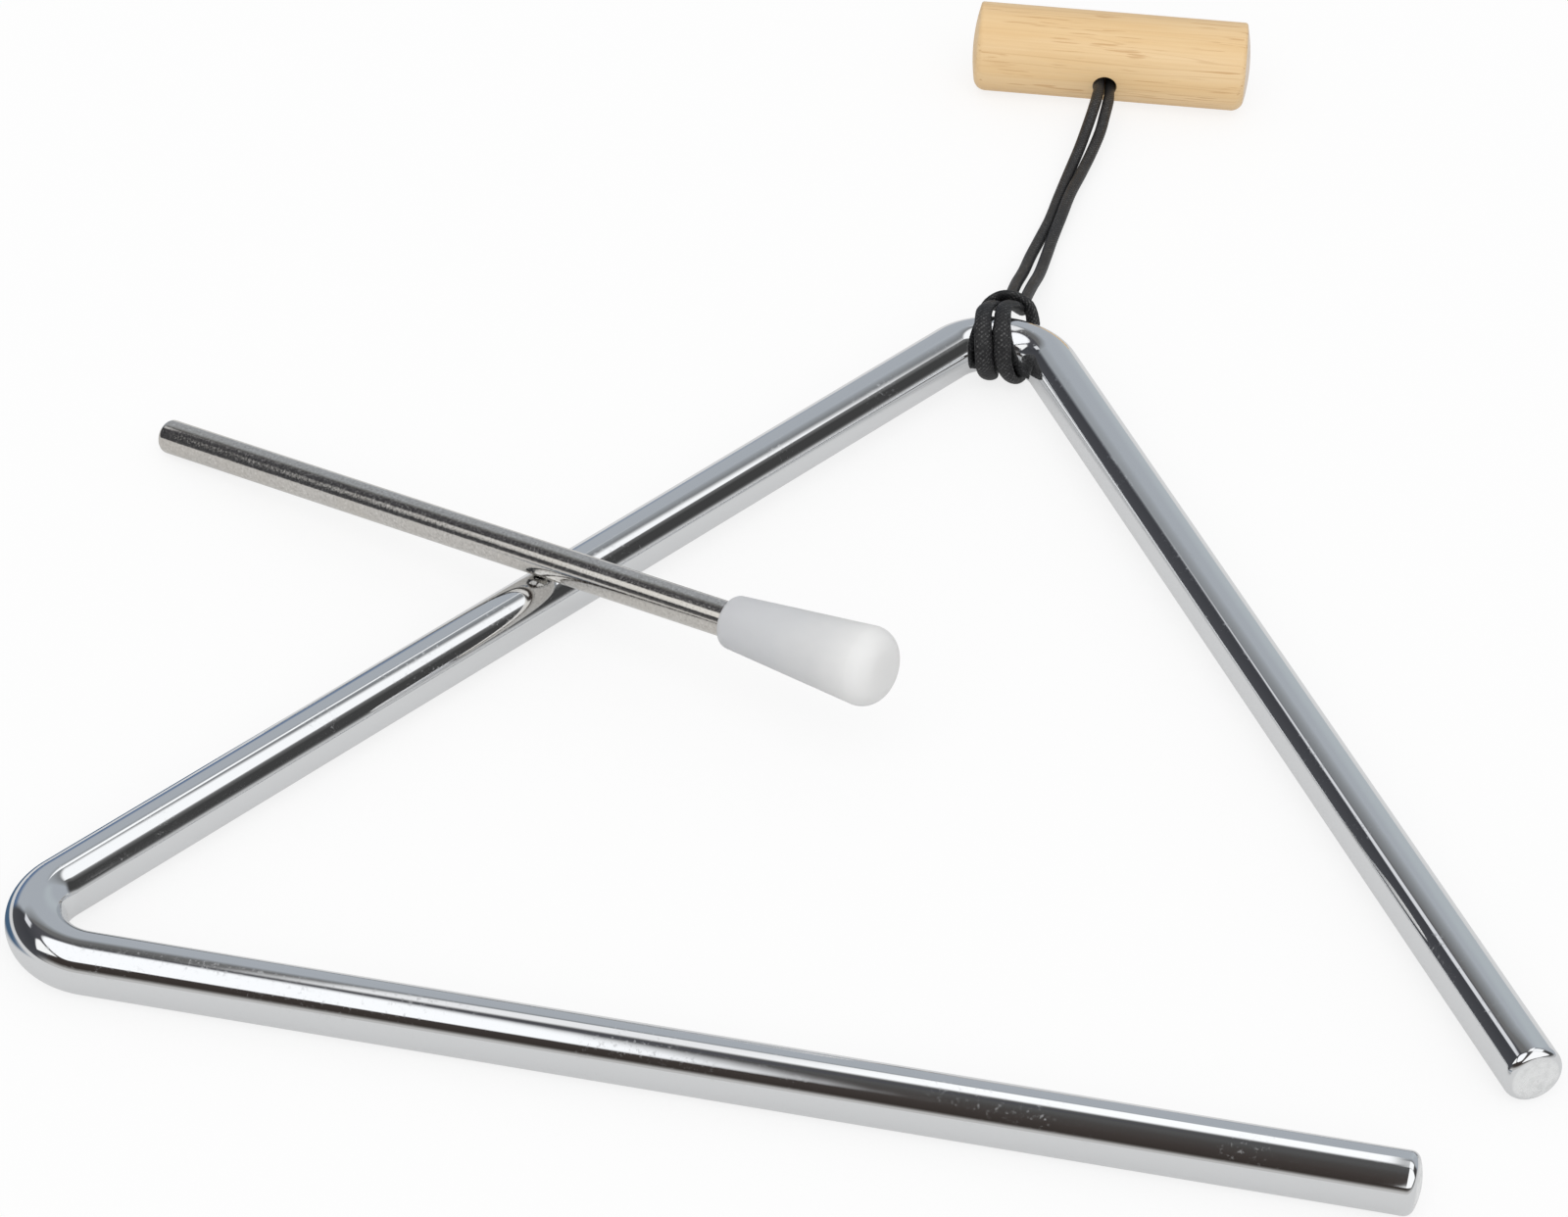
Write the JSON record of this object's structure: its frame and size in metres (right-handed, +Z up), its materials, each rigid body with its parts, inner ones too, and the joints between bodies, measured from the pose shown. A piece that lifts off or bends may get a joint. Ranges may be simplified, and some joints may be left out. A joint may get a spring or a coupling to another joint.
{
  "type": "triangle instrument with beater",
  "caption": "Bent steel triangle lying flat, held by a black cord hitched at its closed corner and a wooden handle, with a steel beater resting across one limb.",
  "frame": {"origin": "on the surface it lies on, at the middle of the box round the triangle, handle and beater", "axes": "+X along the bottom limb towards its free end, +Y from the bottom limb towards the handle, +Z up"},
  "size_m": [0.203, 0.2739, 0.0236],
  "materials": {
    "chrome": "polished",
    "nickel": "bright nickel plate with fine pits",
    "tip_plastic": "translucent satin",
    "wood": "sanded, clear satin",
    "cord": "waxed braid"
  },
  "bodies": {
    "triangle": {"triangle_rod": "chrome", "cord_hitch": "cord"},
    "cord": {"cord_leg_left": "cord", "cord_leg_right": "cord", "cord_knot": "cord"},
    "handle": {"wooden_handle": "wood"},
    "beater": {"beater_rod": "nickel", "beater_tip": "tip_plastic"}
  },
  "joints": [
    {"name": "cord_swing", "type": "hinge", "parent": "triangle", "child": "cord", "pos_m": [0.0097, 0.04518, 0.0063], "axis": [0.999, 0.0445, 0.0025], "range_deg": [-90, 90]},
    {"name": "handle_turn", "type": "hinge", "parent": "cord", "child": "handle", "pos_m": [0.01253, 0.12405, 0.005], "axis": [0.1132, -0.9936, 0], "range_deg": [-90, 90]},
    {"name": "beater_lift", "type": "slide", "parent": "triangle", "child": "beater", "axis": [0, 0, 1], "range_m": [0, 0.15]}
  ]
}
